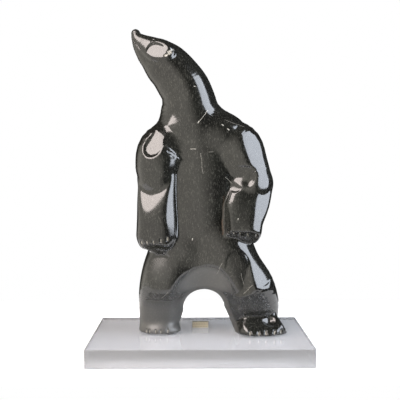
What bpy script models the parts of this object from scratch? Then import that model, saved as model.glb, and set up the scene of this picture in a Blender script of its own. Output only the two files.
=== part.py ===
"""A polar bear carved from one block of dark soapstone, dancing on its hind legs on a clear acrylic slab.

Metres, +Z up. X runs across the slab to the viewer's right, the bear's chest faces -Y, and the origin is
the middle of the slab's underside.
"""

import bmesh
import bpy
import numpy as np
from mathutils import Matrix, Vector

# The slab
SLAB_WIDTH = 0.305
SLAB_DEPTH = 0.203
SLAB_THICKNESS = 0.0254
SLAB_CORNER_RADIUS = 0.0025
SLAB_EDGE_RADIUS = 0.0006

# The bear, whose pose and carving below are in hundredths of its height
BEAR_HEIGHT = 0.434

# The clear pads between the soles and the slab
PAD_RADIUS = 0.0060
PAD_THICKNESS = 0.0018
LEFT_PAD = (-9.3, -3.6)
RIGHT_PAD = (17.0, -4.4)

# The small nameplate behind the feet
PLATE_WIDTH = 0.0240
PLATE_HEIGHT = 0.0085
PLATE_DEPTH = 0.0060
PLATE_TOP_DEPTH = 0.0022
PLATE_FRONT_Y = 0.0265
PLATE_MIDDLE_X = 0.0014
PLATE_EDGE_RADIUS = 0.0003

# Touching pieces keep this gap
TOUCH_GAP = 0.0003

# How finely the bear is meshed, in hundredths of its height, and the share of triangles that is kept
VOXEL = 0.70
KEPT_SHARE = 0.128

# Stations of each limb along a smooth path: x, y, z, half width across the path, half depth in y
TRUNK = [
    (1.0, 0.6, 22.0, 13.6, 9.4),
    (1.0, 0.4, 29.6, 14.4, 9.8),
    (0.8, 0.0, 38.0, 14.4, 10.0),
    (0.8, -0.2, 48.0, 15.0, 9.8),
    (0.6, 0.0, 57.0, 15.6, 9.6),
    (-0.8, 0.2, 64.0, 13.8, 9.2),
    (-2.4, 0.4, 69.5, 11.2, 8.6),
    (-3.2, 0.3, 73.0, 9.8, 8.0),
    (-3.7, 0.2, 76.5, 8.8, 7.6),
    (-4.8, 0.0, 79.9, 8.3, 7.2),
    (-6.8, 0.0, 83.0, 8.0, 6.8),
    (-9.0, 0.0, 85.9, 7.6, 6.4),
    (-11.6, 0.0, 88.5, 7.2, 5.9),
    (-14.3, 0.0, 90.9, 6.1, 5.2),
    (-16.8, 0.0, 92.8, 4.8, 4.3),
    (-19.1, 0.0, 95.0, 3.2, 3.2),
    (-20.5, 0.0, 97.1, 1.9, 2.1),
    (-20.9, 0.0, 98.5, 1.4, 1.5),
]
LEFT_UPPER_ARM = [
    (-8.0, 0.0, 65.0, 6.2, 8.0),
    (-12.0, -1.0, 60.2, 8.0, 9.6),
    (-13.2, -1.8, 55.0, 7.8, 9.8),
    (-13.4, -2.2, 51.0, 6.9, 8.9),
]
LEFT_FOREARM = [
    (-13.3, -2.6, 50.0, 6.6, 8.6),
    (-13.6, -3.6, 44.0, 6.6, 8.2),
    (-13.6, -4.4, 38.0, 6.7, 8.0),
    (-13.6, -5.0, 32.8, 6.9, 7.2),
]
RIGHT_UPPER_ARM = [
    (9.4, 0.2, 64.2, 6.4, 8.4),
    (12.8, -0.5, 60.8, 7.8, 9.4),
    (15.2, -1.0, 55.0, 7.2, 9.6),
    (16.6, -1.4, 49.5, 7.2, 8.8),
]
RIGHT_FOREARM = [
    (17.0, -0.6, 49.0, 6.9, 8.4),
    (15.4, -2.4, 43.5, 7.3, 8.6),
    (13.5, -4.2, 38.0, 7.1, 8.2),
    (13.1, -5.2, 34.8, 6.9, 7.6),
]
LEFT_LEG = [
    (-8.4, 0.4, 27.6, 7.8, 9.6),
    (-11.2, -0.4, 20.5, 7.6, 9.8),
    (-12.5, 0.2, 13.0, 7.6, 8.4),
    (-12.8, 1.0, 7.0, 7.3, 6.0),
    (-12.8, 1.0, 1.0, 7.1, 5.8),
]
RIGHT_LEG = [
    (9.4, 0.4, 27.6, 7.8, 9.8),
    (13.4, -0.6, 21.0, 7.9, 10.0),
    (16.5, 0.0, 14.5, 8.8, 9.0),
    (17.2, 1.0, 9.0, 9.1, 6.8),
    (17.4, 1.2, 4.0, 8.8, 5.6),
    (17.4, 1.2, 1.0, 8.6, 5.6),
]

# The web between the legs, and the opening cut through it from front to back
WEB = [
    (1.8, 1.0, -8.0, 13.5, 5.8),
    (1.8, 1.0, 2.0, 13.5, 5.8),
    (1.6, 0.6, 8.0, 13.5, 6.8),
    (1.4, 0.4, 14.0, 13.5, 8.6),
]
ARCH = [
    (1.9, 0.0, -4.0, 10.0, 40.0),
    (1.85, 0.0, 0.7, 9.2, 40.0),
    (1.7, 0.0, 4.0, 8.1, 40.0),
    (1.4, 0.0, 7.6, 6.8, 40.0),
]

# Rounded masses: centre, radii and the turn about the upright axis
LEFT_FOOT = ((-13.0, -1.0, 0.9), (6.8, 5.1, 4.8), 0.0)
RIGHT_FOOT = ((20.0, -2.6, 0.0), (8.8, 6.8, 7.6), 0.3)

# Short grooves on the front: two ends as x and z
LEFT_HAND_CLAWS = [(-19.3, 29.4), (-17.5, 29.4), (-15.4, 29.5), (-12.9, 30.0), (-10.8, 30.6)]
RIGHT_HAND_CLAWS = [(9.4, 33.2), (11.2, 32.5), (13.3, 32.3), (15.9, 32.0), (18.9, 31.8)]
LEFT_FOOT_CLAWS = [(-16.9, 1.9), (-15.7, 1.9), (-14.0, 1.9), (-12.4, 1.8), (-10.2, 1.9)]
RIGHT_FOOT_CLAWS = [(16.2, 1.6), (18.8, 1.6), (21.0, 1.8), (23.6, 1.8), (26.0, 1.8)]
CLAWS = [*LEFT_HAND_CLAWS, *RIGHT_HAND_CLAWS, *LEFT_FOOT_CLAWS, *RIGHT_FOOT_CLAWS]


def clear_scene():
    for obj in list(bpy.data.objects):
        bpy.data.objects.remove(obj)


def material(name, colour, roughness, metallic=0.0):
    made = bpy.data.materials.new(name)
    made.use_nodes = True
    shader = made.node_tree.nodes["Principled BSDF"]
    shader.inputs["Base Color"].default_value = (*colour, 1.0)
    shader.inputs["Roughness"].default_value = roughness
    shader.inputs["Metallic"].default_value = metallic
    return made


def object_from(bm, name, collection, finish=None):
    mesh = bpy.data.meshes.new(name)
    bm.to_mesh(mesh)
    bm.free()
    made = bpy.data.objects.new(name, mesh)
    collection.objects.link(made)
    if finish:
        mesh.materials.append(finish)
    return made


def smooth_path(stations, per_span=4):
    """Rows along a Catmull-Rom curve through the stations."""
    rows = np.array(stations, float)
    rows = np.vstack([2 * rows[0] - rows[1], rows, 2 * rows[-1] - rows[-2]])
    shares = np.linspace(0, 1, per_span, endpoint=False)[:, None]
    spans = [
        start
        + shares * (end - before) / 2
        + shares**2 * (before - 2.5 * start + 2 * end - after / 2)
        + shares**3 * (1.5 * (start - end) + (after - before) / 2)
        for before, start, end, after in zip(rows, rows[1:], rows[2:], rows[3:])
    ]
    return np.vstack([*spans, rows[-2:-1]])


def oval(across, through, half_width, half_depth, squareness):
    """About how far a point lies outside an oval section, negative inside it."""
    u = across / half_width
    v = through / half_depth
    reach = np.maximum((u**squareness + v**squareness) ** (1 / squareness), 1e-6)
    power = squareness - 1
    slope = np.hypot(u**power / half_width, v**power / half_depth) / reach**power
    return (reach - 1) / np.maximum(slope, 1e-6)


def limb(points, stations, squareness=2.0):
    """About how far each point lies outside a limb, negative inside it."""
    path = smooth_path(stations)
    start, run = path[:-1], np.diff(path, axis=0)
    flat_start, flat_run = start[:, [0, 2]], run[:, [0, 2]]
    flat = points[:, [0, 2]]
    share = (flat @ flat_run.T - (flat_start * flat_run).sum(axis=1)) / (flat_run**2).sum(axis=1)
    share = np.clip(share, 0, 1)
    gap = np.hypot(
        flat[:, :1] - flat_start[:, 0] - share * flat_run[:, 0],
        flat[:, 1:] - flat_start[:, 1] - share * flat_run[:, 1],
    )
    closest = gap.argmin(axis=1)
    every = np.arange(len(points))
    nearest = start[closest] + share[every, closest][:, None] * run[closest]
    through = np.abs(points[:, 1] - nearest[:, 1])
    return oval(gap[every, closest], through, nearest[:, 3], nearest[:, 4], squareness)


def ellipsoid(points, centre, radii, turn=0.0, axis="Z"):
    """About how far each point lies outside an ellipsoid, negative inside it."""
    local = (points - np.array(centre)) @ np.array(Matrix.Rotation(turn, 3, axis))
    scaled = local / np.array(radii)
    reach = np.maximum(np.linalg.norm(scaled, axis=1), 1e-6)
    slope = np.linalg.norm(scaled / np.array(radii), axis=1) / reach
    return (reach - 1) / np.maximum(slope, 1e-6)


def beyond(points, through, facing):
    """How far each point lies on the side of a plane that the plane faces."""
    return (points - np.array(through)) @ np.array(Vector(facing).normalized())


def blend(a, b, radius):
    """Two masses as one, with the valley between them filled to about this radius."""
    near = np.maximum(radius - np.abs(a - b), 0) / radius
    return np.minimum(a, b) - near**2 * radius / 4


def carve(a, cutter, radius):
    """A mass with the cutter taken away, and the new edges rounded to about this radius."""
    return -blend(-a, cutter, radius)


def ramp(value, low, high):
    """0 below low and 1 above high, smoothly."""
    share = np.clip((value - low) / (high - low), 0, 1)
    return share * share * (3 - 2 * share)


def mirrored(points):
    """The same points with those behind the middle plane folded to its front."""
    folded = points.copy()
    folded[:, 1] = -np.abs(folded[:, 1])
    return folded


def groove(points, start, end, width, depth):
    """How far a line engraved from the front sets the surface back."""
    flat = points[:, [0, 2]] - np.array(start)
    run = np.subtract(end, start)
    share = np.clip(flat @ run / (run @ run), 0, 1)
    gap = np.linalg.norm(flat - share[:, None] * run, axis=1)
    return depth * (1 - ramp(gap, 0.0, width)) * (points[:, 1] < 0)


def left_arm(points, body):
    upper = limb(points, LEFT_UPPER_ARM, 2.4)
    upper = carve(upper, -beyond(points, (-8.2, -10.2, 53.3), (0.60, -0.70, -0.39)), 0.5)
    body = blend(body, upper, 0.7 + 6.0 * ramp(points[:, 2], 56.0, 62.0))
    lower = limb(points, LEFT_FOREARM, 2.8)
    lower = carve(lower, -beyond(points, (-9.9, -11.4, 40.0), (0.80, -0.60, -0.04)), 0.5)
    lower = carve(lower, -beyond(points, (-14.0, -12.0, 30.0), (-0.08, -0.55, -0.83)), 0.6)
    lower = carve(lower, -beyond(points, (-14.0, 0.0, 27.4), (-0.12, 0.0, -1.0)), 1.0)
    ledge = ellipsoid(points, (-12.4, -2.6, 29.4), (5.8, 7.4, 4.4), 0.35, "Y")
    return blend(blend(body, ledge, 0.5), lower, 0.8)


def right_arm(points, body):
    body = blend(body, limb(points, RIGHT_UPPER_ARM, 2.4), 2.0 + 3.0 * ramp(points[:, 2], 54.0, 62.0))
    body = carve(body, ellipsoid(points, (13.5, -12.5, 49.0), (8.0, 6.0, 8.5)), 1.0)
    lower = limb(points, RIGHT_FOREARM, 2.6)
    lower = carve(lower, -beyond(points, (9.6, -9.6, 44.0), (-0.66, -0.70, 0.26)), 0.8)
    lower = carve(lower, -beyond(points, (14.0, -12.4, 33.9), (0.0, -0.66, -0.75)), 0.5)
    lower = carve(lower, -beyond(points, (14.0, 0.0, 30.4), (0.0, 0.1, -1.0)), 0.5)
    ledge = ellipsoid(points, (14.0, -2.6, 32.6), (5.4, 7.0, 3.4))
    return blend(blend(body, ledge, 0.5), lower, 0.6)


def feet(points, body):
    body = blend(body, ellipsoid(points, *LEFT_FOOT), 2.4)
    right = ellipsoid(points, *RIGHT_FOOT)
    right = carve(right, -beyond(points, (18.0, -5.0, 5.2), (0.05, -0.80, 0.60)), 1.0)
    right = carve(right, -beyond(points, (26.4, 0.0, 3.0), (0.87, 0.10, 0.50)), 0.8)
    return blend(body, right, 0.8)


def face(points, body):
    """Cheeks, ears, eyes and mouth, the same on both sides of the head."""
    side = mirrored(points)
    cheek = ellipsoid(side, (-13.6, -2.0, 92.0), (5.4, 3.6, 3.6), 0.72, "Y")
    body = blend(body, cheek, 1.0)
    ear = ellipsoid(side, (-9.3, -5.2, 92.4), (1.9, 1.2, 0.75), -0.75, "Y")
    body = blend(body, ear, 0.3)
    mouth = groove(side, (-21.8, 96.7), (-19.4, 93.6), 0.45, 0.4)
    jaw = groove(side, (-19.4, 93.6), (-18.8, 91.2), 0.4, 0.25)
    eye = ellipsoid(side, (-15.4, -4.0, 96.0), (0.55, 1.5, 0.55))
    return blend(body, eye, 0.2) + mouth + jaw


def bear_field(points):
    """About how far each point lies outside the bear, in hundredths of its height."""
    z = points[:, 2]
    body = limb(points, TRUNK)
    for leg in (LEFT_LEG, RIGHT_LEG):
        body = blend(body, limb(points, leg), 5.0)
    body = blend(body, limb(points, WEB), 2.0)
    body = carve(body, limb(points, ARCH), 6.0)
    body = feet(points, body)
    body = left_arm(points, body)
    body = right_arm(points, body)
    body = face(points, body)
    for x, height in CLAWS:
        body = body + groove(points, (x, height - 0.4), (x, height + 0.4), 0.5, 0.45)
    return carve(body, z, 1.0)


def slopes(points, step=0.02):
    """The field at each point, and its gradient."""
    here = bear_field(points)
    ahead = [bear_field(points + step * axis) for axis in np.eye(3)]
    return here, (np.stack(ahead, axis=1) - here[:, None]) / step


def rough_bear(bm):
    """Overlapping balls along every limb, as the block is roughed out."""
    ball = bmesh.new()
    bmesh.ops.create_uvsphere(ball, u_segments=24, v_segments=16, radius=1.0)
    pattern = bpy.data.meshes.new("ball")
    ball.to_mesh(pattern)
    ball.free()
    balls = [LEFT_FOOT, RIGHT_FOOT]
    for stations in (TRUNK, LEFT_UPPER_ARM, LEFT_FOREARM, RIGHT_UPPER_ARM, RIGHT_FOREARM, LEFT_LEG, RIGHT_LEG):
        for x, y, z, half_width, half_depth in smooth_path(stations, 3):
            if abs(x) > 5 or z - half_width > 14:
                balls.append(((x, y, z), (half_width, half_depth, half_width), 0.0))
    for centre, radii, turn in balls:
        placed = pattern.copy()
        placed.transform(Matrix.Translation(centre) @ Matrix.Rotation(turn, 4, "Z") @ Matrix.Diagonal((*radii, 1)))
        bm.from_mesh(placed)
        bpy.data.meshes.remove(placed)


def refine(bm):
    """Smaller faces where the carving is fine: on the face and at the claws."""
    middles = np.array([face.calc_center_median() for face in bm.faces])
    chosen = (middles[:, 0] < -7.5) & (middles[:, 2] > 90.0)
    for x, height in CLAWS:
        gap = np.hypot(middles[:, 0] - x, middles[:, 2] - height)
        chosen |= (gap < 1.3) & (middles[:, 1] < 0)
    edges = {edge for face, near in zip(bm.faces, chosen) if near for edge in face.edges}
    bmesh.ops.subdivide_edges(bm, edges=sorted(edges, key=lambda edge: edge.index), cuts=1, use_grid_fill=True)
    bmesh.ops.triangulate(bm, faces=bm.faces)


def settle(bm, rounds):
    """Moves the vertices onto the carved surface, evening them out on the way."""
    for _ in range(rounds):
        bmesh.ops.smooth_vert(bm, verts=bm.verts, factor=0.5, use_axis_x=True, use_axis_y=True, use_axis_z=True)
        points = np.array([vert.co for vert in bm.verts])
        for _ in range(2):
            here, slope = slopes(points)
            points -= slope * (here / np.maximum((slope**2).sum(axis=1), 0.05))[:, None]
        for vert, point in zip(bm.verts, points):
            vert.co = point


def bear(collection, helpers, finish):
    rough = bmesh.new()
    rough_bear(rough)
    block = object_from(rough, "rough_bear", helpers)
    block.hide_render = True
    block.display_type = "WIRE"
    remesh = block.modifiers.new("one_skin", "REMESH")
    remesh.mode = "VOXEL"
    remesh.voxel_size = VOXEL
    graph = bpy.context.evaluated_depsgraph_get()
    skin = bpy.data.meshes.new_from_object(block.evaluated_get(graph))
    bm = bmesh.new()
    bm.from_mesh(skin)
    settle(bm, 3)
    refine(bm)
    settle(bm, 1)
    unit = BEAR_HEIGHT / 100
    soles = SLAB_THICKNESS + PAD_THICKNESS + 2 * TOUCH_GAP
    bm.transform(Matrix.Translation((0, 0, soles)) @ Matrix.Scale(unit, 4))
    made = object_from(bm, "bear", collection, finish)
    thin = made.modifiers.new("fewer_faces", "DECIMATE")
    thin.ratio = KEPT_SHARE
    made.data.shade_smooth()
    return made


def slab(collection, finish):
    bm = bmesh.new()
    size = Matrix.Diagonal((SLAB_WIDTH, SLAB_DEPTH, SLAB_THICKNESS, 1))
    bmesh.ops.create_cube(bm, size=1.0, matrix=Matrix.Translation((0, 0, SLAB_THICKNESS / 2)) @ size)
    upright = [edge for edge in bm.edges if abs(edge.verts[0].co.z - edge.verts[1].co.z) > SLAB_THICKNESS / 2]
    bmesh.ops.bevel(bm, geom=upright, offset=SLAB_CORNER_RADIUS, segments=6, profile=0.5, affect="EDGES")
    made = object_from(bm, "acrylic_slab", collection, finish)
    eased = made.modifiers.new("eased_edges", "BEVEL")
    eased.width = SLAB_EDGE_RADIUS
    eased.segments = 2
    eased.angle_limit = 0.9
    return made


def foot_pad(name, place, collection, finish):
    unit = BEAR_HEIGHT / 100
    bm = bmesh.new()
    middle = Matrix.Translation((place[0] * unit, place[1] * unit, SLAB_THICKNESS + TOUCH_GAP + PAD_THICKNESS / 2))
    bmesh.ops.create_cone(
        bm, cap_ends=True, segments=32, radius1=PAD_RADIUS, radius2=PAD_RADIUS, depth=PAD_THICKNESS, matrix=middle
    )
    return object_from(bm, name, collection, finish)


def nameplate(collection, finish):
    """A little wedge whose face leans back, standing on the slab."""
    base = SLAB_THICKNESS + TOUCH_GAP
    back = PLATE_FRONT_Y + PLATE_DEPTH
    outline = [
        (PLATE_FRONT_Y, base),
        (back, base),
        (back, base + PLATE_HEIGHT),
        (back - PLATE_TOP_DEPTH, base + PLATE_HEIGHT),
    ]
    bm = bmesh.new()
    end = bm.faces.new([bm.verts.new((PLATE_MIDDLE_X - PLATE_WIDTH / 2, y, z)) for y, z in outline])
    grown = bmesh.ops.extrude_face_region(bm, geom=[end])
    far = [item for item in grown["geom"] if isinstance(item, bmesh.types.BMVert)]
    bmesh.ops.translate(bm, vec=(PLATE_WIDTH, 0, 0), verts=far)
    bmesh.ops.recalc_face_normals(bm, faces=bm.faces)
    made = object_from(bm, "nameplate", collection, finish)
    eased = made.modifiers.new("eased_edges", "BEVEL")
    eased.width = PLATE_EDGE_RADIUS
    eased.segments = 2
    return made


def main():
    clear_scene()
    parts = bpy.data.collections.new("soapstone_bear")
    helpers = bpy.data.collections.new("helpers")
    for collection in (parts, helpers):
        bpy.context.scene.collection.children.link(collection)
    stone = material("polished_soapstone", (0.035, 0.036, 0.033), 0.15)
    acrylic = material("clear_acrylic", (0.80, 0.81, 0.83), 0.05)
    bear(parts, helpers, stone)
    slab(parts, acrylic)
    foot_pad("foot_pad_left", LEFT_PAD, parts, acrylic)
    foot_pad("foot_pad_right", RIGHT_PAD, parts, acrylic)
    nameplate(parts, material("brass", (0.60, 0.50, 0.28), 0.35, 1.0))


main()
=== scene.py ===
"""A polar bear carved from dark soapstone, dancing on its hind legs on a clear acrylic slab.

Metres, +Z up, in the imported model's own frame: X runs across the slab to the viewer's right, the bear's
chest faces -Y, and the origin is the middle of the slab's underside.
"""

import math

import bmesh
import bpy
import numpy as np
from mathutils import Matrix, Vector


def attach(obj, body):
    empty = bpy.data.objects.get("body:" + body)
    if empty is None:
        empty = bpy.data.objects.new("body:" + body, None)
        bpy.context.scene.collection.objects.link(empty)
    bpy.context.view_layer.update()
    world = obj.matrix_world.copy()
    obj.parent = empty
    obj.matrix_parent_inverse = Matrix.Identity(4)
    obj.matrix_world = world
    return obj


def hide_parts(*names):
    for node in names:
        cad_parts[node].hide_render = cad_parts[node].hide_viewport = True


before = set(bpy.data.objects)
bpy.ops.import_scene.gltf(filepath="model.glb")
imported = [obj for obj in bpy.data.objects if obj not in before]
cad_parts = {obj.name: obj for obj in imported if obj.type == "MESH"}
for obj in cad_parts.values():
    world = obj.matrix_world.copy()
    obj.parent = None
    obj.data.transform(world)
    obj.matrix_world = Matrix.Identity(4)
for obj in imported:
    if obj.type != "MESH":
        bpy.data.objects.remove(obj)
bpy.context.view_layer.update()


# The bear is one block of soapstone, a soft dark talc stone. It is sawn, rasped and carved down by hand,
# then sanded through fine grits and oiled to a gloss. Facets, ledges and the lines that are cut for claws,
# mouth, eyes and ears stay crisp. The claw lines show pale where the powder of the stone fills them, and the
# ear folds are painted pale as a painted highlight on their rims.

UNIT = 0.434 / 100  # a hundredth of the bear's height, the unit of the whole carving
SOLES = 0.0278  # how high the soles stand above the slab's underside, in metres
SKIN = 0.40  # the width of the skin's faces before any are made smaller, in units

# Stations of each limb along a smooth path: x, y, z, half width across the path, half depth in y
TRUNK = [
    (1.0, 0.6, 22.0, 13.6, 9.4),
    (1.0, 0.4, 29.6, 14.4, 9.8),
    (0.8, 0.0, 38.0, 14.4, 10.0),
    (0.8, -0.2, 48.0, 15.0, 9.8),
    (0.6, 0.0, 57.0, 15.6, 9.6),
    (-0.8, 0.2, 64.0, 13.8, 9.4),
    (-2.4, 0.2, 69.5, 11.2, 8.9),
    (-3.2, 0.1, 73.0, 9.8, 8.5),
    (-3.7, 0.0, 76.5, 8.8, 8.1),
    (-4.8, 0.0, 79.9, 8.3, 7.8),
    (-6.8, 0.0, 83.0, 8.0, 7.4),
    (-9.0, 0.0, 85.9, 7.6, 7.0),
    (-11.6, 0.0, 88.5, 7.2, 6.5),
    (-14.3, 0.0, 90.9, 6.1, 5.0),
    (-16.8, 0.0, 92.8, 4.8, 4.0),
    (-19.1, 0.0, 94.9, 3.2, 3.1),
    (-20.5, 0.0, 96.8, 1.9, 2.1),
    (-20.9, 0.0, 98.0, 1.4, 1.5),
]
CHEEKS = [
    (-11.3, 0.0, 90.4, 4.3, 7.5),
    (-13.6, 0.0, 91.6, 4.4, 6.9),
    (-16.0, 0.0, 93.1, 3.9, 5.4),
    (-18.4, 0.0, 94.8, 2.9, 3.8),
    (-20.2, 0.0, 96.5, 1.9, 2.3),
    (-20.9, 0.0, 97.9, 1.3, 1.5),
]
LEFT_UPPER_ARM = [
    (-8.0, 0.0, 65.0, 6.2, 7.4),
    (-12.0, -1.0, 60.2, 8.0, 9.6),
    (-13.2, -1.8, 55.0, 7.8, 9.8),
    (-13.4, -2.2, 51.0, 6.9, 8.9),
]
LEFT_FOREARM = [
    (-13.3, -2.6, 50.0, 6.6, 8.6),
    (-13.6, -3.6, 44.0, 6.6, 8.2),
    (-13.6, -4.4, 38.0, 6.7, 8.0),
    (-13.6, -5.0, 32.8, 6.9, 7.2),
]
RIGHT_UPPER_ARM = [
    (9.4, 0.2, 64.2, 6.4, 8.4),
    (12.8, -0.5, 60.8, 7.8, 9.4),
    (15.2, -1.0, 55.0, 7.2, 9.6),
    (16.6, -1.4, 49.5, 7.2, 8.8),
]
RIGHT_FOREARM = [
    (17.0, -0.6, 49.0, 6.9, 8.4),
    (15.4, -2.0, 43.5, 7.3, 8.6),
    (13.5, -3.4, 38.0, 7.1, 8.2),
    (13.1, -4.4, 34.8, 6.9, 7.6),
]
LEFT_LEG = [
    (-8.4, 0.4, 27.6, 7.8, 9.6),
    (-11.2, -0.4, 20.5, 7.6, 9.8),
    (-12.4, -0.1, 14.0, 7.6, 9.3),
    (-12.7, 0.6, 8.6, 7.4, 7.2),
    (-12.8, 1.0, 4.6, 7.2, 5.8),
    (-12.8, 1.0, 1.0, 7.1, 5.6),
]
RIGHT_LEG = [
    (9.4, 0.4, 27.6, 7.8, 9.8),
    (13.2, -0.6, 21.0, 7.6, 10.0),
    (16.2, -0.2, 15.0, 8.4, 9.6),
    (17.2, 0.7, 9.4, 9.1, 7.6),
    (17.4, 1.2, 4.0, 8.8, 5.6),
    (17.4, 1.2, 1.0, 8.6, 5.6),
]
WEB = [
    (1.8, 1.0, -8.0, 13.5, 5.8),
    (1.8, 1.0, 2.0, 13.5, 5.8),
    (1.6, 0.6, 8.0, 13.5, 6.8),
    (1.4, 0.4, 14.0, 13.5, 8.6),
]
ARCH = [
    (1.9, 0.0, -4.0, 10.0, 40.0),
    (1.85, 0.0, 0.7, 9.2, 40.0),
    (1.7, 0.0, 4.0, 8.1, 40.0),
    (1.4, 0.0, 7.6, 6.8, 40.0),
]

# The arch widens toward its front edge, where a rounded hollow is taken out. The hollow and the feet are each
# a centre and three half widths, and the feet have a turn as well.
ARCH_FLARE = ((1.6, -13.5, 3.0), (13.0, 10.0, 21.5))
LEFT_FOOT = ((-13.0, -1.2, 0.4), (6.8, 5.0, 3.3), 0.0)
RIGHT_FOOT = ((20.4, -3.0, 0.0), (9.0, 7.4, 7.4), -0.12)

# The folds of an ear and the mouth are lines from one x and z to another, and an eye is a ring around its own
EARS = [((-10.2, 90.9), (-8.4, 91.8)), ((-11.2, 89.7), (-9.0, 90.7))]
MOUTH = ((-21.7, 95.7), (-19.0, 92.3))
EYE_X = -15.0
EYE_Z = 94.6

# Claws, as the x and z of the middle of each short line cut from the front
CLAW_HALF_LENGTH = 0.4
CLAW_DEPTH = 0.45
CLAWS = [(-18.5, 30.4), (-16.8, 30.5), (-14.7, 30.7), (-12.3, 31.2), (-10.3, 31.7)]
CLAWS += [(8.9, 34.1), (10.6, 33.4), (12.6, 33.2), (15.1, 32.9), (18.0, 32.6)]
CLAWS += [(-17.4, 0.9), (-16.4, 0.9), (-14.4, 0.9), (-12.7, 0.8), (-10.5, 1.0)]
CLAWS += [(16.1, 0.8), (18.9, 0.7), (21.2, 0.9), (24.0, 0.9), (26.2, 1.1)]


def smooth_path(stations, per_span=4):
    """Rows along a Catmull-Rom curve through the stations."""
    rows = np.array(stations, float)
    rows = np.vstack([2 * rows[0] - rows[1], rows, 2 * rows[-1] - rows[-2]])
    shares = np.linspace(0, 1, per_span, endpoint=False)[:, None]
    spans = [
        start
        + shares * (end - before) / 2
        + shares**2 * (before - 2.5 * start + 2 * end - after / 2)
        + shares**3 * (1.5 * (start - end) + (after - before) / 2)
        for before, start, end, after in zip(rows, rows[1:], rows[2:], rows[3:])
    ]
    return np.vstack([*spans, rows[-2:-1]])


def oval(across, through, half_width, half_depth, squareness):
    """About how far a point lies outside an oval section, negative inside it."""
    u = across / half_width
    v = through / half_depth
    reach = np.maximum((u**squareness + v**squareness) ** (1 / squareness), 1e-6)
    power = squareness - 1
    slope = np.hypot(u**power / half_width, v**power / half_depth) / reach**power
    return (reach - 1) / np.maximum(slope, 1e-6)


def limb(points, stations, squareness=2.0):
    """About how far each point lies outside a limb, negative inside it."""
    path = smooth_path(stations)
    start, run = path[:-1], np.diff(path, axis=0)
    flat_start, flat_run = start[:, [0, 2]], run[:, [0, 2]]
    flat = points[:, [0, 2]]
    share = (flat @ flat_run.T - (flat_start * flat_run).sum(axis=1)) / (flat_run**2).sum(axis=1)
    share = np.clip(share, 0, 1)
    gap = np.hypot(
        flat[:, :1] - flat_start[:, 0] - share * flat_run[:, 0],
        flat[:, 1:] - flat_start[:, 1] - share * flat_run[:, 1],
    )
    closest = gap.argmin(axis=1)
    every = np.arange(len(points))
    nearest = start[closest] + share[every, closest][:, None] * run[closest]
    through = np.abs(points[:, 1] - nearest[:, 1])
    return oval(gap[every, closest], through, nearest[:, 3], nearest[:, 4], squareness)


def ellipsoid(points, centre, radii, turn=0.0, axis="Z"):
    """About how far each point lies outside an ellipsoid, negative inside it."""
    local = (points - np.array(centre)) @ np.array(Matrix.Rotation(turn, 3, axis))
    scaled = local / np.array(radii)
    reach = np.maximum(np.linalg.norm(scaled, axis=1), 1e-6)
    slope = np.linalg.norm(scaled / np.array(radii), axis=1) / reach
    return (reach - 1) / np.maximum(slope, 1e-6)


def beyond(points, through, facing):
    """How far each point lies on the side of a plane that the plane faces."""
    return (points - np.array(through)) @ np.array(Vector(facing).normalized())


def blend(a, b, radius):
    """Two masses as one, with the valley between them filled to about this radius."""
    near = np.maximum(radius - np.abs(a - b), 0) / radius
    return np.minimum(a, b) - near**2 * radius / 4


def carve(a, cutter, radius):
    """A mass with the cutter taken away, and the new edges rounded to about this radius."""
    return -blend(-a, cutter, radius)


def facet(a, points, middle, facing, reach, edge=0.6, run=(0.0, 0.0, 0.0)):
    """A mass with a flat sanded on it around a point, or along a run to both sides of the point."""
    offset = points - np.array(middle)
    share = np.clip(offset @ np.array(run) / max(np.dot(run, run), 1e-6), -1, 1)
    outside = np.maximum(np.linalg.norm(offset - share[:, None] * np.array(run), axis=1) - reach, 0)
    return carve(a, outside - beyond(points, middle, facing), edge)


def ramp(value, low, high):
    """0 below low and 1 above high, smoothly."""
    share = np.clip((value - low) / (high - low), 0, 1)
    return share * share * (3 - 2 * share)


def groove(points, start, end, width):
    """1 along the middle of a line that is cut from the front, falling to 0 at its sides."""
    flat = points[:, [0, 2]] - np.array(start)
    run = np.subtract(end, start)
    share = np.clip(flat @ run / (run @ run), 0, 1)
    gap = np.linalg.norm(flat - share[:, None] * run, axis=1)
    return (1 - ramp(gap, 0.0, width)) * (points[:, 1] < 0)


def left_arm(points, body):
    """The body with its left arm, the flats sanded on the arm and the ledge of stone under the paw."""
    upper = limb(points, LEFT_UPPER_ARM, 2.4)
    upper = carve(upper, -beyond(points, (-8.6, -10.0, 52.0), (0.50, -0.86, -0.10)), 0.5)
    body = blend(body, upper, 0.7 + 2.6 * ramp(points[:, 2], 53.0, 59.0))
    body = facet(body, points, (-13.2, -9.0, 62.8), (-0.37, -0.85, 0.37), 2.5, 0.8, (1.6, 0.40, 2.5))
    lower = limb(points, LEFT_FOREARM, 2.8)
    lower = carve(lower, -beyond(points, (-14.8, -11.2, 42.2), (-0.340, -0.875, 0.345)), 0.8)
    lower = carve(lower, -beyond(points, (-9.6, -11.2, 40.0), (0.585, -0.808, 0.05)), 0.4)
    lower = carve(lower, -beyond(points, (-14.0, -12.0, 30.0), (-0.08, -0.55, -0.83)), 0.6)
    lower = carve(lower, -beyond(points, (-14.0, 0.0, 27.4), (-0.12, 0.0, -1.0)), 1.0)
    ledge = ellipsoid(points, (-12.4, -2.6, 29.4), (5.8, 7.4, 4.4), 0.35, "Y")
    return blend(blend(body, ledge, 0.5), lower, 0.8)


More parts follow.
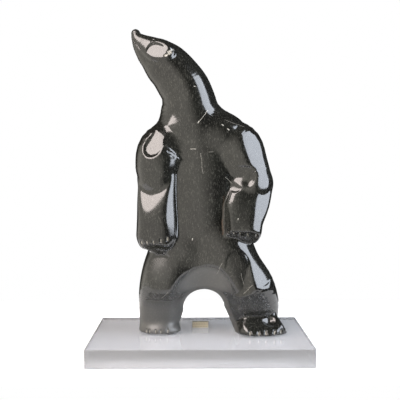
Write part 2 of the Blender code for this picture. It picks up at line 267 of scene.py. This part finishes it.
def right_arm(points, body):
    """The body with its right arm, whose forearm is squarer and is set back a step from the upper arm."""
    body = blend(body, limb(points, RIGHT_UPPER_ARM, 2.4), 2.0 + 3.0 * ramp(points[:, 2], 54.0, 62.0))
    body = facet(body, points, (12.9, -8.9, 53.0), (-0.05, -0.88, -0.47), 2.0, 0.6, (1.8, 0.0, 0.0))
    body = carve(body, -beyond(points, (19.6, -9.17, 50.0), (0.543, -0.836, 0.045)), 0.6)
    body = facet(body, points, (16.4, -8.05, 62.0), (0.520, -0.810, 0.280), 9.0, 0.8)
    lower = limb(points, RIGHT_FOREARM, 4.5)
    lower = carve(lower, -beyond(points, (17.0, -10.8, 44.0), (0.543, -0.836, 0.08)), 0.6)
    lower = carve(lower, -beyond(points, (8.4, -9.8, 43.0), (-0.76, -0.64, 0.02)), 0.25)
    lower = carve(lower, -beyond(points, (12.3, -8.0, 52.4), (-0.50, -0.20, 0.84)), 0.4)
    lower = facet(lower, points, (12.3, -8.6, 49.8), (-0.34, -0.90, 0.30), 2.2, 0.4, (0.8, 0.0, 1.0))
    lower = carve(lower, -beyond(points, (14.0, -11.6, 33.9), (0.0, -0.66, -0.75)), 0.5)
    lower = carve(lower, -beyond(points, (14.0, 0.0, 30.4), (0.0, 0.1, -1.0)), 0.5)
    ledge = ellipsoid(points, (14.0, -2.6, 32.6), (5.4, 7.0, 3.4))
    return blend(blend(body, ledge, 0.5), lower, 0.6)


def feet(points, body):
    """The body with a plain rounded left foot and a right foot that is cut in flats."""
    body = blend(body, ellipsoid(points, *LEFT_FOOT), 1.4)
    right = ellipsoid(points, *RIGHT_FOOT)
    right = carve(right, -beyond(points, (17.0, -7.4, 3.8), (-0.08, -0.70, 0.70)), 1.0)
    right = carve(right, -beyond(points, (22.5, -7.2, 2.8), (0.04, -0.72, 0.69)), 0.6)
    right = facet(right, points, (21.6, -5.0, 4.6), (0.50, -0.80, 0.33), 1.2, 0.4)
    right = carve(right, -beyond(points, (27.0, -4.0, 3.0), (0.87, 0.10, 0.50)), 0.8)
    right = facet(right, points, (15.4, -8.5, 3.2), (-0.30, -0.87, 0.38), 1.3, 0.4)
    return blend(body, right, 0.8)


def face(points, body):
    """Cheeks, ears, eyes and mouth, the same on both sides of the head."""
    side = points.copy()
    side[:, 1] = -np.abs(side[:, 1])
    cheeks = limb(side, CHEEKS, 3.0)
    cheeks = facet(cheeks, side, (-13.3, -6.45, 90.7), (-0.31, -0.90, 0.31), 2.6, 0.5, (-1.2, 0.55, 0.4))
    body = blend(body, cheeks, 0.4)
    ear = ellipsoid(side, (-9.6, -5.3, 90.8), (1.75, 1.1, 0.9), -0.50, "Y")
    body = blend(body, ear, 0.3)
    ear_fold = 0.35 * np.maximum(*[groove(side, start, end, 0.4) for start, end in EARS])
    mouth = 0.5 * groove(side, *MOUTH, 0.4)
    from_eye = np.hypot(side[:, 0] - EYE_X, side[:, 2] - EYE_Z)
    eye = 0.22 * (1 - ramp(np.abs(from_eye - 0.6), 0.0, 0.25))
    return body + ear_fold + mouth + eye * (np.abs(side[:, 1]) > 2)


def claws(points):
    """1 along the middle of every claw, falling to 0 at its sides."""
    cut = np.zeros(len(points))
    for x, z in CLAWS:
        line = groove(points, (x, z - CLAW_HALF_LENGTH), (x, z + CLAW_HALF_LENGTH), 0.5)
        cut = np.maximum(cut, line)
    return cut


def satin_and_painted_reflection(points):
    """Where the stone is a rougher satin and painted paler: 1 in the arch, less at the knees and a thigh
    patch, 0 where oiled and rubbed. The paler colour is a painted reflection of the floor and a painted sheen.
    """
    height = points[:, 2]
    inside_arch = 1 - ramp(limb(points, ARCH), 1.0, 2.6)
    flare = (1 - ramp(ellipsoid(points, *ARCH_FLARE), 0.1, 0.8)) * (1 - ramp(height, 23.0, 26.0))
    left_knee = 0.9 * (1 - ramp(height, 7.0, 16.5)) * (points[:, 0] < 2.0)
    right_knee = 0.35 * (1 - ramp(height, 9.0, 14.0)) * ramp(height, 6.0, 8.0)
    thigh = 0.4 * (1 - ramp(np.linalg.norm(points - np.array((-12.6, -9.3, 21.0)), axis=1), 2.0, 5.5))
    return np.max([inside_arch, flare, left_knee, right_knee, thigh], axis=0)


def bear_field(points):
    """About how far each point lies outside the bear, in hundredths of its height."""
    body = limb(points, TRUNK)
    for leg in (LEFT_LEG, RIGHT_LEG):
        body = blend(body, limb(points, leg, 2.5), 5.0)
    body = blend(body, limb(points, WEB), 2.0)
    body = carve(body, limb(points, ARCH), 6.0)
    body = carve(body, ellipsoid(points, *ARCH_FLARE), 1.5)
    body = facet(body, points, (-12.6, -9.75, 21.3), (-0.27, -0.90, 0.34), 5.0, 1.0)
    body = facet(body, points, (11.6, -9.6, 20.5), (0.20, -0.97, -0.12), 3.6, 2.0, (0.6, -0.3, 3.5))
    body = facet(body, points, (17.7, -7.7, 23.9), (0.585, -0.775, 0.240), 8.0, 1.0)
    body = feet(points, body)
    body = left_arm(points, body)
    body = right_arm(points, body)
    body = face(points, body)
    body = body + CLAW_DEPTH * claws(points)
    return carve(body, points[:, 2], 1.0)


def settle(bm, rounds, step=0.02):
    """Moves the vertices onto the carved surface, evening them out on the way."""
    for _ in range(rounds):
        bmesh.ops.smooth_vert(
            bm, verts=bm.verts, factor=0.5, use_axis_x=True, use_axis_y=True, use_axis_z=True
        )
        points = np.array([vert.co for vert in bm.verts])
        for _ in range(2):
            here = bear_field(points)
            ahead = [bear_field(points + step * axis) for axis in np.eye(3)]
            slope = (np.stack(ahead, axis=1) - here[:, None]) / step
            points -= slope * (here / np.maximum((slope**2).sum(axis=1), 0.05))[:, None]
        for vert, point in zip(bm.verts, points):
            vert.co = point


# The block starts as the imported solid's own shape, meshed evenly and finely
rough = bmesh.new()
rough.from_mesh(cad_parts["bear"].data)
bmesh.ops.remove_doubles(rough, verts=rough.verts, dist=1e-6)
rough.transform(Matrix.Scale(1 / UNIT, 4) @ Matrix.Translation((0, 0, -SOLES)))
block_mesh = bpy.data.meshes.new("roughed_out_block")
rough.to_mesh(block_mesh)
rough.free()
block = bpy.data.objects.new("roughed_out_block", block_mesh)
bpy.context.scene.collection.objects.link(block)
evened = block.modifiers.new("one_skin", "REMESH")
evened.mode = "VOXEL"
evened.voxel_size = SKIN
evened_mesh = bpy.data.meshes.new_from_object(block.evaluated_get(bpy.context.evaluated_depsgraph_get()))
bpy.data.objects.remove(block)

# It is carved in two passes, with smaller faces for the second at the head and the claws
carving = bmesh.new()
carving.from_mesh(evened_mesh)
settle(carving, 2)
middles = np.array([patch.calc_center_median() for patch in carving.faces])
fine = (middles[:, 0] < -7.5) & (middles[:, 2] > 89.0)
for claw_x, claw_z in CLAWS:
    fine |= (np.hypot(middles[:, 0] - claw_x, middles[:, 2] - claw_z) < 1.6) & (middles[:, 1] < 0)
fine_edges = {edge for patch, near in zip(carving.faces, fine) if near for edge in patch.edges}
fine_edges = sorted(fine_edges, key=lambda edge: edge.index)
bmesh.ops.subdivide_edges(carving, edges=fine_edges, cuts=1, use_grid_fill=True)
bmesh.ops.triangulate(carving, faces=carving.faces)
settle(carving, 1)
places = np.array([vert.co for vert in carving.verts])
# Pale marks: the powder of the stone in the claw cuts, and a painted highlight along the ear folds
claw_powder_and_ear_highlight = np.max([claws(places), *[groove(places, start, end, 0.7) for start, end in EARS]], axis=0)
# Satin parts: rougher, and painted paler as a painted reflection of the floor in the arch and lower legs
satin_and_reflection = satin_and_painted_reflection(places)
carving.transform(Matrix.Translation((0, 0, SOLES)) @ Matrix.Scale(UNIT, 4))
bear_mesh = bpy.data.meshes.new("carved_bear")
carving.to_mesh(bear_mesh)
carving.free()
bear_mesh.attributes.new("claw_powder_and_painted_ear_highlight", "FLOAT", "POINT").data.foreach_set("value", claw_powder_and_ear_highlight)
bear_mesh.attributes.new("satin_and_painted_floor_reflection", "FLOAT", "POINT").data.foreach_set("value", satin_and_reflection)
bear_mesh.shade_smooth()
bear = bpy.data.objects.new("carved_bear", bear_mesh)
bpy.context.scene.collection.objects.link(bear)


def linear(code):
    """A hex sRGB colour as the linear values that a shader takes."""
    parts = [int(code[start : start + 2], 16) / 255 for start in (1, 3, 5)]
    return (*[part / 12.92 if part <= 0.04045 else ((part + 0.055) / 1.055) ** 2.4 for part in parts], 1.0)


def add(tree, kind, inputs, **settings):
    """A new node with its settings, its fixed inputs and its links."""
    made = tree.nodes.new(f"ShaderNode{kind}")
    for name, value in settings.items():
        setattr(made, name, value)
    for socket, value in inputs.items():
        if isinstance(value, bpy.types.NodeSocket):
            tree.links.new(value, made.inputs[socket])
        else:
            made.inputs[socket].default_value = value
    return made.outputs


# Oiled soapstone: near black with a green-grey cast, a haze of pale talc grains, thin white talc threads,
# and a wet gloss that softens to a rougher satin in the arch, the lower legs and a patch of thigh, where the
# colour is also painted paler as a painted reflection of the floor and a painted sheen. The grains are about a
# millimetre and a half wide and three times as long, coarser than real ones, so that they show.
stone = bpy.data.materials.new("oiled_soapstone")
stone.use_nodes = True
tree = stone.node_tree
tree.nodes.clear()
place = add(tree, "TexCoord", {})["Object"]
clouds = add(tree, "TexNoise", {"Vector": place, "Scale": 26.0, "Detail": 5.0, "Roughness": 0.6})["Fac"]
cloudy = add(tree, "MapRange", {"Value": clouds, "From Min": 0.35, "From Max": 0.68})["Result"]
body_colour = add(
    tree, "Mix", {"Factor": cloudy, "A": linear("#121211"), "B": linear("#1e1f1c")}, data_type="RGBA"
)["Result"]
# The paler colour of the satin parts is a painted reflection of the floor in the arch and lower legs, and a
# painted sheen on the thigh
satin_and_reflection_amount = add(tree, "Attribute", {}, attribute_name="satin_and_painted_floor_reflection")["Fac"]
painted_reflection_amount = add(tree, "Math", {0: satin_and_reflection_amount, 1: 2.0}, operation="POWER")["Value"]
body_colour = add(
    tree, "Mix", {"Factor": painted_reflection_amount, "A": body_colour, "B": linear("#525250")}, data_type="RGBA"
)["Result"]
drawn_out = add(tree, "VectorMath", {0: place, 1: (1.0, 1.0, 0.35)}, operation="MULTIPLY")["Vector"]
grains = add(tree, "TexNoise", {"Vector": drawn_out, "Scale": 620.0, "Detail": 2.0, "Roughness": 0.7})["Fac"]
grainy = add(tree, "MapRange", {"Value": grains, "From Min": 0.52, "From Max": 0.80, "To Max": 0.2})["Result"]
surface = add(
    tree, "Mix", {"Factor": grainy, "A": body_colour, "B": linear("#8c8c84")}, data_type="RGBA"
)["Result"]

# Thin talc threads and chips in the front of the block, and a rusty stain: start x and z, end x and z in the
# carving's unit, half width in millimetres and how clearly each shows. The threads are drawn wider than real
# hairlines, which would be lost at this distance.
THREADS = [
    (-0.4, 68.5, 2.6, 72.6, 0.45, 0.9),
    (-0.6, 68.3, -0.2, 68.9, 0.9, 0.9),
    (7.0, 67.9, 7.3, 67.6, 0.9, 0.9),
    (8.8, 66.6, 9.2, 66.3, 0.9, 1.0),
    (-2.9, 60.2, -1.2, 60.2, 0.6, 0.9),
    (2.6, 59.2, 4.3, 59.2, 0.5, 0.3),
    (0.2, 58.8, 0.9, 52.4, 0.4, 0.45),
    (-1.8, 80.1, -1.5, 80.1, 0.9, 0.9),
    (8.0, 69.6, 14.2, 67.2, 0.4, 0.3),
    (8.0, 51.2, 10.3, 49.3, 0.4, 0.5),
    (-2.4, 31.6, -2.4, 31.2, 0.9, 0.8),
    (12.1, 38.2, 12.1, 37.8, 0.8, 0.8),
    (7.1, 23.7, 5.4, 20.1, 0.4, 0.4),
    (13.3, 20.5, 14.0, 16.8, 0.4, 0.4),
    (16.8, 16.8, 14.1, 13.8, 0.4, 0.4),
    (-10.2, 14.5, -12.3, 12.5, 0.4, 0.4),
]
RUST = [(7.6, 45.0, 7.2, 37.6, 1.6, 0.12), (7.2, 37.6, 7.4, 33.0, 1.8, 0.3)]
bend = add(tree, "TexNoise", {"Vector": place, "Scale": 90.0, "Detail": 2.0})["Color"]
bend = add(tree, "VectorMath", {0: bend, 1: (0.5, 0.5, 0.5)}, operation="SUBTRACT")["Vector"]
bend = add(tree, "VectorMath", {0: bend, "Scale": 0.004}, operation="SCALE")["Vector"]
bent = add(tree, "VectorMath", {0: place, 1: bend}, operation="ADD")["Vector"]
bent = add(tree, "VectorMath", {0: bent, 1: (1.0, 0.0, 1.0)}, operation="MULTIPLY")["Vector"]
front_side = add(tree, "SeparateXYZ", {"Vector": place})["Y"]
front_side = add(tree, "Math", {0: front_side, 1: 0.0}, operation="LESS_THAN")["Value"]


def along_lines(tree, place, lines):
    """1 on any of the lines, as seen from the front, and 0 beyond their half widths."""
    shown = 0.0
    for start_x, start_z, end_x, end_z, half_width, clearness in lines:
        start = Vector((start_x * UNIT, 0.0, start_z * UNIT + SOLES))
        way = Vector((end_x * UNIT, 0.0, end_z * UNIT + SOLES)) - start
        offset = add(tree, "VectorMath", {0: place, 1: start}, operation="SUBTRACT")["Vector"]
        share_of_way = way / way.length_squared
        part = add(tree, "VectorMath", {0: offset, 1: share_of_way}, operation="DOT_PRODUCT")["Value"]
        part = add(tree, "Clamp", {"Value": part})["Result"]
        closest = add(tree, "VectorMath", {0: way, "Scale": part}, operation="SCALE")["Vector"]
        gap = add(tree, "VectorMath", {0: offset, 1: closest}, operation="DISTANCE")["Value"]
        fade = {"Value": gap, "From Max": half_width / 1000, "To Min": clearness, "To Max": 0.0}
        near = add(tree, "MapRange", fade)["Result"]
        shown = add(tree, "Math", {0: shown, 1: near}, operation="MAXIMUM")["Value"]
    return shown


for lines, tint in ((THREADS, "#c2c0b8"), (RUST, "#6a4e3a")):
    shown = along_lines(tree, bent, lines)
    shown = add(tree, "Math", {0: shown, 1: front_side}, operation="MULTIPLY")["Value"]
    surface = add(
        tree, "Mix", {"Factor": shown, "A": surface, "B": linear(tint)}, data_type="RGBA"
    )["Result"]
# The claw cuts are paled by the powder of the stone, and the ear folds are paled as a painted highlight on
# their rims
powder_and_highlight = add(tree, "Attribute", {}, attribute_name="claw_powder_and_painted_ear_highlight")["Fac"]
powder_and_highlight_amount = add(tree, "MapRange", {"Value": powder_and_highlight, "From Min": 0.45, "From Max": 0.9, "To Max": 0.8})["Result"]
surface = add(
    tree, "Mix", {"Factor": powder_and_highlight_amount, "A": surface, "B": linear("#b9b5ab")}, data_type="RGBA"
)["Result"]
gloss = add(
    tree, "MapRange", {"Value": clouds, "From Min": 0.3, "From Max": 0.7, "To Min": 0.10, "To Max": 0.17}
)["Result"]
rubbed = add(tree, "Mix", {"Factor": satin_and_reflection_amount, "A": gloss, "B": 0.42}, data_type="FLOAT")["Result"]
shader = add(tree, "BsdfPrincipled", {"Base Color": surface, "Roughness": rubbed, "IOR": 1.58})["BSDF"]
add(tree, "OutputMaterial", {"Surface": shader})
bear_mesh.materials.append(stone)
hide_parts("bear")
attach(bear, "root")


# The base is a slab of clear cast acrylic an inch thick, sawn to size and eased at its corners. Its faces are
# clear and faintly wavy, and its upright sides are sanded to a rougher satin and painted greyer as painted
# shade. Two small clear pads lift the soles a little off it.

acrylic = bpy.data.materials.new("cast_acrylic")
acrylic.use_nodes = True
tree = acrylic.node_tree
tree.nodes.clear()
place = add(tree, "TexCoord", {})["Object"]
ripple = add(tree, "TexNoise", {"Vector": place, "Scale": 14.0, "Detail": 1.0})["Fac"]
waves = add(tree, "Bump", {"Height": ripple, "Strength": 0.05, "Distance": 0.002})["Normal"]
level = add(tree, "SeparateXYZ", {"Vector": add(tree, "TexCoord", {})["Normal"]})["Z"]
level = add(tree, "Math", {0: level}, operation="ABSOLUTE")["Value"]
# Upright faces get a rougher satin, and a greyer colour that is painted shade
sanded_and_shaded_sides = add(
    tree, "MapRange", {"Value": level, "From Min": 0.2, "From Max": 0.6, "To Min": 1.0, "To Max": 0.0}
)["Result"]
clear_colour_with_painted_shade = add(
    tree, "Mix", {"Factor": sanded_and_shaded_sides, "A": linear("#e8e9ec"), "B": linear("#bcbdbf")}, data_type="RGBA"
)["Result"]
polish = add(tree, "MapRange", {"Value": sanded_and_shaded_sides, "To Min": 0.03, "To Max": 0.22})["Result"]
shader = add(
    tree,
    "BsdfPrincipled",
    {
        "Base Color": clear_colour_with_painted_shade,
        "Roughness": polish,
        "IOR": 1.49,
        "Transmission Weight": 0.70,
        "Normal": waves,
    },
)["BSDF"]
add(tree, "OutputMaterial", {"Surface": shader})
for name in ("acrylic_slab", "foot_pad_left", "foot_pad_right"):
    clear_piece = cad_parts[name]
    for slot in clear_piece.material_slots:
        slot.material = acrylic


# The nameplate is a little wedge of brass, milled, brushed and lightly lacquered, stuck to the slab behind
# the feet. Its leaning face has rows of short engraved strokes, coarser than real ones, so that they show.

brass = bpy.data.materials.new("brushed_brass")
brass.use_nodes = True
tree = brass.node_tree
tree.nodes.clear()
place = add(tree, "TexCoord", {})["Object"]
brushed = add(tree, "Mapping", {"Vector": place, "Scale": (40.0, 2500.0, 2500.0)})["Vector"]
lines = add(tree, "TexNoise", {"Vector": brushed, "Scale": 1.0, "Detail": 2.0})["Fac"]
rough_metal = add(tree, "MapRange", {"Value": lines, "To Min": 0.30, "To Max": 0.50})["Result"]
strokes = add(
    tree,
    "TexBrick",
    {"Vector": place, "Scale": 1.0, "Mortar Size": 0.00035, "Brick Width": 0.0024, "Row Height": 0.0014},
    offset=0.37,
)["Fac"]
cut = add(tree, "MapRange", {"Value": strokes, "To Min": 0.55, "To Max": 0.0})["Result"]
face_colour = add(
    tree, "Mix", {"Factor": cut, "A": linear("#dbd4c0"), "B": linear("#8f8770")}, data_type="RGBA"
)["Result"]
shader = add(
    tree, "BsdfPrincipled", {"Base Color": face_colour, "Metallic": 1.0, "Roughness": rough_metal}
)["BSDF"]
add(tree, "OutputMaterial", {"Surface": shader})
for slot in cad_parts["nameplate"].material_slots:
    slot.material = brass


# The set is a white floor board that runs back to a plain white surround, in a dark room with one soft
# warm light high on the left and one cooler light on the right.

board = bmesh.new()
bmesh.ops.create_grid(board, x_segments=1, y_segments=1, size=0.5)
board.transform(Matrix.Translation((0, 0.10, -0.0004)) @ Matrix.Diagonal((1.2, 0.54, 1, 1)))
floor_mesh = bpy.data.meshes.new("floor_board")
board.to_mesh(floor_mesh)
board.free()
floor = bpy.data.objects.new("floor_board", floor_mesh)
bpy.context.scene.collection.objects.link(floor)
matt_white = bpy.data.materials.new("matt_white_board")
matt_white.use_nodes = True
tree = matt_white.node_tree
tree.nodes.clear()
shader = add(
    tree,
    "BsdfPrincipled",
    {
        "Base Color": linear("#f6f6f6"),
        "Roughness": 0.7,
        "Emission Color": linear("#ffffff"),
        "Emission Strength": 0.65,
    },
)["BSDF"]
add(tree, "OutputMaterial", {"Surface": shader})
floor_mesh.materials.append(matt_white)

surround = bmesh.new()
bmesh.ops.create_uvsphere(surround, u_segments=48, v_segments=24, radius=6.0)
bmesh.ops.reverse_faces(surround, faces=surround.faces)
surround_mesh = bpy.data.meshes.new("white_surround")
surround.to_mesh(surround_mesh)
surround.free()
backdrop = bpy.data.objects.new("white_surround", surround_mesh)
bpy.context.scene.collection.objects.link(backdrop)
lit_white = bpy.data.materials.new("lit_white_surround")
lit_white.use_nodes = True
tree = lit_white.node_tree
tree.nodes.clear()
glow = add(tree, "Emission", {"Color": linear("#ffffff"), "Strength": 1.0})["Emission"]
add(tree, "OutputMaterial", {"Surface": glow})
surround_mesh.materials.append(lit_white)
backdrop.visible_diffuse = False
backdrop.visible_glossy = False
backdrop.visible_transmission = False
backdrop.visible_shadow = False

for name, spot, aim, width, height, power, colour in (
    ("warm_softbox", (-0.60, -0.72, 1.10), (0.0, 0.0, 0.25), 0.85, 0.70, 20.0, "#fff3ee"),
    ("cool_softbox", (1.06, -0.42, 0.70), (0.0, 0.0, 0.25), 0.75, 1.25, 27.0, "#edf4ff"),
):
    lamp = bpy.data.lights.new(name, "AREA")
    lamp.shape = "RECTANGLE"
    lamp.size = width
    lamp.size_y = height
    lamp.energy = power
    lamp.color = linear(colour)[:3]
    softbox = bpy.data.objects.new(name, lamp)
    softbox.location = spot
    softbox.rotation_euler = (Vector(aim) - Vector(spot)).to_track_quat("-Z", "Y").to_euler()
    bpy.context.scene.collection.objects.link(softbox)

# The room gives a warm white light from the left, the front and below, and is nearly dark everywhere else
room = bpy.data.worlds.new("dim_room")
room.use_nodes = True
tree = room.node_tree
tree.nodes.clear()
toward = add(tree, "TexCoord", {})["Generated"]
bright_side = add(
    tree, "VectorMath", {0: toward, 1: (-0.81, -0.47, -0.35)}, operation="DOT_PRODUCT"
)["Value"]
strength = add(
    tree, "MapRange", {"Value": bright_side, "From Min": 0.1, "From Max": 0.55, "To Min": 0.02, "To Max": 1.75}
)["Result"]
glow = add(tree, "Background", {"Color": linear("#ebe6dc"), "Strength": strength})["Background"]
add(tree, "OutputWorld", {"Surface": glow})
bpy.context.scene.world = room
bpy.context.scene.view_settings.view_transform = "Standard"


# The camera stands a metre in front of the bear at the height of its chest, tilted a little down and turned
# a little to the right. Its focal length follows from the size of the slab in the picture.

PICTURE = 400  # the picture's width and height, in points
FOCAL = 713.6  # the focal length, in points of the picture
LEVEL_ROW = 167.7  # the row of the picture that is level with the camera
AHEAD_COLUMN = 192  # the column of the picture that is straight ahead of it
SENSOR = 36.0

lens = bpy.data.cameras.new("front_camera")
lens.sensor_width = SENSOR
lens.lens = FOCAL / PICTURE * SENSOR
lens.clip_start = 0.01
camera = bpy.data.objects.new("front_camera", lens)
camera.location = (-0.0109, -1.0235, 0.263)
tilt = math.atan2(PICTURE / 2 - LEVEL_ROW, FOCAL)
turn = math.atan2(PICTURE / 2 - AHEAD_COLUMN, FOCAL)
camera.rotation_euler = (math.pi / 2 - tilt, 0, -turn)
bpy.context.scene.collection.objects.link(camera)
bpy.context.scene.camera = camera
